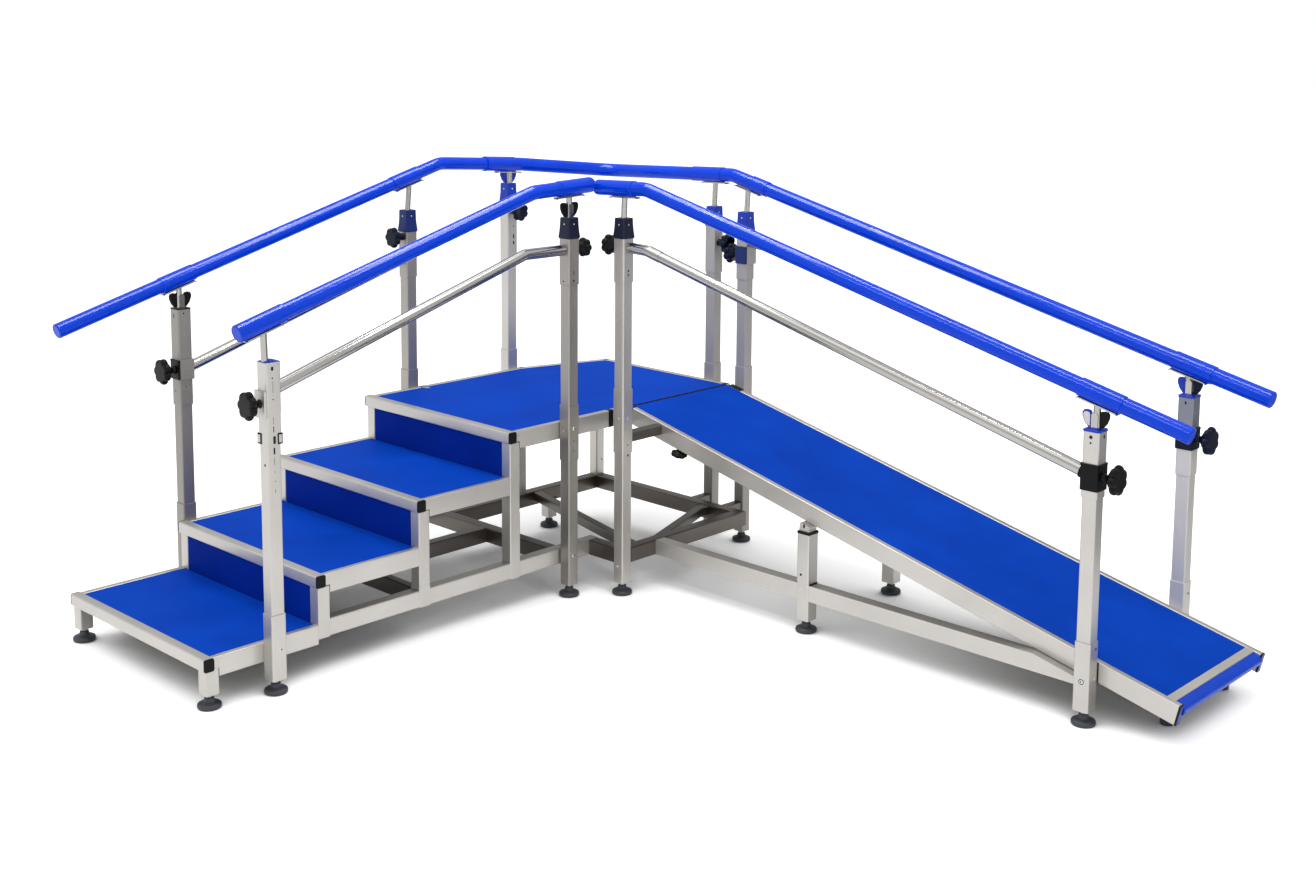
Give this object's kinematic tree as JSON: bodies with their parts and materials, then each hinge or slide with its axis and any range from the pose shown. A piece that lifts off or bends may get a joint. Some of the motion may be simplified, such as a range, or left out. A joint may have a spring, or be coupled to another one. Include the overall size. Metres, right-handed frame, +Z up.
{
  "type": "rehabilitation stairs with ramp",
  "caption": "Training stairs that climb to a corner platform and turn down a straight ramp, with height-adjustable double handrails, star knobs and levelling feet.",
  "frame": {"origin": "on the floor under the foot of the inner corner post at the ramp's head", "axes": "+Y is the way the stairs climb, +X the way the ramp goes down, +Z up"},
  "size_m": [2.7022, 2.1371, 1.3393],
  "materials": {
    "steel": "brushed stainless tube",
    "board": "plywood under blue anti-slip vinyl",
    "lip": "blue rolled vinyl edge",
    "riser": "blue coated board",
    "grip": "gloss blue plastic cover",
    "knob": "black moulded",
    "foot": "dark grey moulded"
  },
  "bodies": {
    "base": {"step_frame_1": "steel", "step_frame_2": "steel", "step_frame_3": "steel", "platform_frame": "steel", "corner_frame": "steel", "stair_base": "steel", "corner_base": "steel", "ramp_frame": "steel", "ramp_floor_rail": "steel", "ramp_leg_near": "steel", "ramp_leg_far": "steel", "post_5": "steel", "post_6": "steel", "post_8": "steel", "post_9": "steel", "post_10": "steel", "tread_1": "board", "tread_2": "board", "tread_3": "board", "platform_board": "board", "corner_board": "board", "ramp_board": "board", "ramp_lip": "lip", "riser_1": "riser", "riser_2": "riser", "riser_3": "riser"},
    "front_stair_rail": {"lower_rail_front_stairs": "steel", "handrail_front_stairs": "grip"},
    "front_ramp_rail": {"lower_rail_front_ramp": "steel", "handrail_front_ramp": "grip"},
    "rear_rail": {"lower_rail_rear_stairs": "steel", "lower_rail_rear_ramp": "steel", "sleeve_4": "steel", "sleeve_7": "steel", "handrail_rear_stairs": "grip", "handrail_rear_corner": "grip", "handrail_rear_ramp": "grip"},
    "knob_1_turn": {"knob_1": "knob"},
    "knob_2_turn": {"knob_2": "knob"},
    "knob_3_turn": {"knob_3": "knob"},
    "knob_4_turn": {"knob_4": "knob"},
    "knob_5_turn": {"knob_5": "knob"},
    "knob_6_turn": {"knob_6": "knob"},
    "knob_7_turn": {"knob_7": "knob"},
    "knob_8_turn": {"knob_8": "knob"},
    "knob_9_turn": {"knob_9": "knob"},
    "knob_10_turn": {"knob_10": "knob"},
    "ramp_lock_knob_turn": {"ramp_lock_knob": "knob"},
    "foot_step_near_turn": {"foot_step_near": "foot"},
    "foot_step_far_turn": {"foot_step_far": "foot"},
    "foot_2_turn": {"foot_2": "foot"},
    "foot_5_turn": {"foot_5": "foot"},
    "foot_6_turn": {"foot_6": "foot"},
    "foot_7_turn": {"foot_7": "foot"},
    "foot_8_turn": {"foot_8": "foot"},
    "foot_9_turn": {"foot_9": "foot"},
    "foot_10_turn": {"foot_10": "foot"},
    "foot_corner_turn": {"foot_corner": "foot"},
    "foot_ramp_near_turn": {"foot_ramp_near": "foot"},
    "foot_ramp_far_turn": {"foot_ramp_far": "foot"}
  },
  "joints": [
    {"name": "front_stair_rail_height", "type": "slide", "parent": "base", "child": "front_stair_rail", "axis": [0, 0, 1], "range_m": [-0.05, 0.05]},
    {"name": "front_ramp_rail_height", "type": "slide", "parent": "base", "child": "front_ramp_rail", "axis": [0, 0, 1], "range_m": [-0.05, 0.05]},
    {"name": "rear_rail_height", "type": "slide", "parent": "base", "child": "rear_rail", "axis": [0, 0, 1], "range_m": [-0.05, 0.05]},
    {"name": "knob_1_turn", "type": "hinge", "parent": "rear_rail", "child": "knob_1_turn", "pos_m": [-0.8725, -1.02, 0.745], "axis": [0, -1, 0], "range_deg": [0, 540]},
    {"name": "knob_2_turn", "type": "hinge", "parent": "front_stair_rail", "child": "knob_2_turn", "pos_m": [-0.1095, -1.208, 0.796], "axis": [0, -1, 0], "range_deg": [0, 540]},
    {"name": "knob_3_turn", "type": "hinge", "parent": "rear_rail", "child": "knob_3_turn", "pos_m": [-0.8725, -0.16, 1.078], "axis": [0, -1, 0], "range_deg": [0, 540]},
    {"name": "knob_4_turn", "type": "hinge", "parent": "rear_rail", "child": "knob_4_turn", "pos_m": [-0.8725, 0.292, 1.134], "axis": [1, 0, 0], "range_deg": [0, 540]},
    {"name": "knob_5_turn", "type": "hinge", "parent": "front_stair_rail", "child": "knob_5_turn", "pos_m": [-0.1072, -0.13, 1.105], "axis": [0, 1, 0], "range_deg": [0, 540]},
    {"name": "knob_6_turn", "type": "hinge", "parent": "front_ramp_rail", "child": "knob_6_turn", "pos_m": [0, 0, 1.112], "axis": [-1, 0, 0], "range_deg": [0, 540]},
    {"name": "knob_7_turn", "type": "hinge", "parent": "rear_rail", "child": "knob_7_turn", "pos_m": [-0.23, 0.6805, 1.045], "axis": [1, 0, 0], "range_deg": [0, 540]},
    {"name": "knob_8_turn", "type": "hinge", "parent": "rear_rail", "child": "knob_8_turn", "pos_m": [-0.088, 0.6828, 1.014], "axis": [-1, 0, 0], "range_deg": [0, 540]},
    {"name": "knob_9_turn", "type": "hinge", "parent": "front_ramp_rail", "child": "knob_9_turn", "pos_m": [1.545, 0.1372, 0.659], "axis": [1, 0, 0], "range_deg": [0, 540]},
    {"name": "knob_10_turn", "type": "hinge", "parent": "rear_rail", "child": "knob_10_turn", "pos_m": [1.535, 0.6828, 0.661], "axis": [1, 0, 0], "range_deg": [0, 540]},
    {"name": "ramp_lock_knob_turn", "type": "hinge", "parent": "base", "child": "ramp_lock_knob_turn", "pos_m": [0.08751, 0.17, 0.45281], "axis": [-0.2258, 0, -0.9742], "range_deg": [0, 540]},
    {"name": "foot_step_near_turn", "type": "hinge", "parent": "base", "child": "foot_step_near_turn", "pos_m": [-0.15, -1.385, 0], "axis": [0, 0, 1], "range_deg": [-360, 360]},
    {"name": "foot_step_far_turn", "type": "hinge", "parent": "base", "child": "foot_step_far_turn", "pos_m": [-0.83, -1.385, 0], "axis": [0, 0, 1], "range_deg": [-360, 360]},
    {"name": "foot_2_turn", "type": "hinge", "parent": "base", "child": "foot_2_turn", "pos_m": [-0.1095, -1.208, 0], "axis": [0, 0, 1], "range_deg": [-360, 360]},
    {"name": "foot_5_turn", "type": "hinge", "parent": "base", "child": "foot_5_turn", "pos_m": [-0.1072, -0.13, 0], "axis": [0, 0, 1], "range_deg": [-360, 360]},
    {"name": "foot_6_turn", "type": "hinge", "parent": "base", "child": "foot_6_turn", "pos_m": [0, 0, 0], "axis": [0, 0, 1], "range_deg": [-360, 360]},
    {"name": "foot_7_turn", "type": "hinge", "parent": "base", "child": "foot_7_turn", "pos_m": [-0.23, 0.6805, 0], "axis": [0, 0, 1], "range_deg": [-360, 360]},
    {"name": "foot_8_turn", "type": "hinge", "parent": "base", "child": "foot_8_turn", "pos_m": [-0.088, 0.6828, 0], "axis": [0, 0, 1], "range_deg": [-360, 360]},
    {"name": "foot_9_turn", "type": "hinge", "parent": "base", "child": "foot_9_turn", "pos_m": [1.545, 0.1372, 0], "axis": [0, 0, 1], "range_deg": [-360, 360]},
    {"name": "foot_10_turn", "type": "hinge", "parent": "base", "child": "foot_10_turn", "pos_m": [1.535, 0.6828, 0], "axis": [0, 0, 1], "range_deg": [-360, 360]},
    {"name": "foot_corner_turn", "type": "hinge", "parent": "base", "child": "foot_corner_turn", "pos_m": [-0.69, 0.32, 0], "axis": [0, 0, 1], "range_deg": [-360, 360]},
    {"name": "foot_ramp_near_turn", "type": "hinge", "parent": "base", "child": "foot_ramp_near_turn", "pos_m": [0.6225, 0.152, 0], "axis": [0, 0, 1], "range_deg": [-360, 360]},
    {"name": "foot_ramp_far_turn", "type": "hinge", "parent": "base", "child": "foot_ramp_far_turn", "pos_m": [0.606, 0.606, 0], "axis": [0, 0, 1], "range_deg": [-360, 360]}
  ]
}
